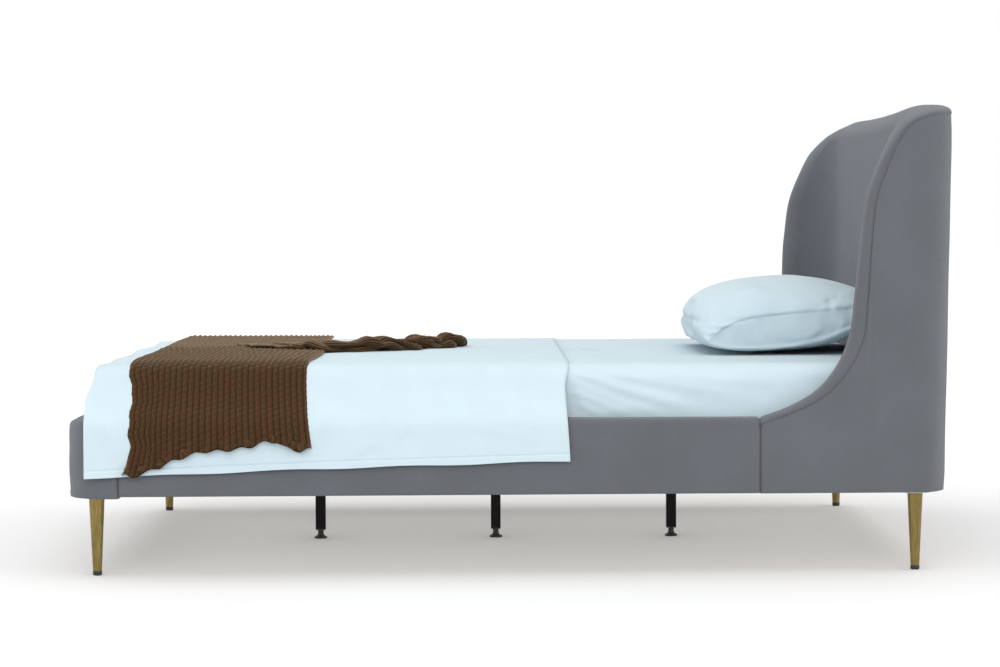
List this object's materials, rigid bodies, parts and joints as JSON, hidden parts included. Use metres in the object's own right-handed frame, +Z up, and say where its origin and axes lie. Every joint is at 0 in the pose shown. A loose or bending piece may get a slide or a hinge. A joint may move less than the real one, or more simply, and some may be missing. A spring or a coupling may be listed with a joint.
{
  "type": "upholstered wing-back bed",
  "caption": "Low upholstered platform bed with a tall curved wing-back headboard, padded rails, tapered gold legs, centre supports, mattress, sheets, knitted throw and pillow.",
  "frame": {"origin": "on the floor at the middle of the bed's footprint", "axes": "+Y points from the foot to the headboard, +X to the right side seen from the foot, +Z up"},
  "size_m": [1.6813, 2.2151, 1.1812],
  "materials": {
    "upholstery_fabric": "woven, soft nap",
    "timber": "planed softwood",
    "plywood": "sanded plywood",
    "slat_wood": "sanded birch",
    "webbing": "woven tape",
    "zinc_steel": "zinc plated",
    "black_steel": "satin powder coat",
    "gold_metal": "polished gold plating",
    "black_plastic": "moulded, satin",
    "mattress_ticking": "quilted knit",
    "white_cotton": "washed cotton",
    "brown_knit": "cable knit"
  },
  "bodies": {
    "frame": {"left_side_rail_board": "timber", "left_foot_corner_post": "timber", "left_foot_corner_block": "timber", "left_wing_base_rail": "timber", "left_head_corner_block": "timber", "left_headboard_post": "timber", "left_slat_ledger": "timber", "left_head_ledger": "timber", "left_wing_panel": "plywood", "left_side_rail_padding": "upholstery_fabric", "left_wing_padding": "upholstery_fabric", "left_foot_leg": "gold_metal", "left_foot_glide": "black_plastic", "left_head_leg": "gold_metal", "left_head_glide": "black_plastic", "right_side_rail_board": "timber", "right_foot_corner_post": "timber", "right_foot_corner_block": "timber", "right_wing_base_rail": "timber", "right_head_corner_block": "timber", "right_headboard_post": "timber", "right_slat_ledger": "timber", "right_head_ledger": "timber", "right_wing_panel": "plywood", "right_side_rail_padding": "upholstery_fabric", "right_wing_padding": "upholstery_fabric", "right_foot_leg": "gold_metal", "right_foot_glide": "black_plastic", "right_head_leg": "gold_metal", "right_head_glide": "black_plastic", "footboard_board": "timber", "headboard_lower_rail": "timber", "headboard_middle_rail": "timber", "headboard_upper_rail": "timber", "centre_beam": "timber", "headboard_ply": "plywood", "footboard_padding": "upholstery_fabric", "headboard_padding": "upholstery_fabric", "slats": "slat_wood", "slat_tapes": "webbing", "beam_hangers": "zinc_steel", "connector_plates": "zinc_steel", "connector_bolts": "zinc_steel", "ledger_screws": "zinc_steel", "slat_screws": "zinc_steel", "leg_plates": "zinc_steel", "leg_studs": "zinc_steel", "foot_centre_leg": "black_steel", "middle_centre_leg": "black_steel", "head_centre_leg": "black_steel", "centre_leg_flanges": "black_steel", "centre_leg_inserts": "black_plastic"},
    "bedding": {"mattress": "mattress_ticking", "fitted_sheet": "white_cotton", "flat_sheet": "white_cotton", "throw_blanket": "brown_knit"},
    "pillow": {"pillow": "white_cotton"},
    "foot_foot": {"foot_levelling_foot": "black_plastic"},
    "middle_foot": {"middle_levelling_foot": "black_plastic"},
    "head_foot": {"head_levelling_foot": "black_plastic"}
  },
  "joints": [
    {"name": "mattress_lift", "type": "slide", "parent": "frame", "child": "bedding", "axis": [0, 0, 1], "range_m": [0, 0.35]},
    {"name": "pillow_lift", "type": "slide", "parent": "bedding", "child": "pillow", "axis": [0, 0, 1], "range_m": [0, 0.3]},
    {"name": "foot_levelling_screw", "type": "slide", "parent": "frame", "child": "foot_foot", "axis": [0, 0, 1], "range_m": [-0.012, 0.009]},
    {"name": "middle_levelling_screw", "type": "slide", "parent": "frame", "child": "middle_foot", "axis": [0, 0, 1], "range_m": [-0.012, 0.009]},
    {"name": "head_levelling_screw", "type": "slide", "parent": "frame", "child": "head_foot", "axis": [0, 0, 1], "range_m": [-0.012, 0.009]}
  ]
}
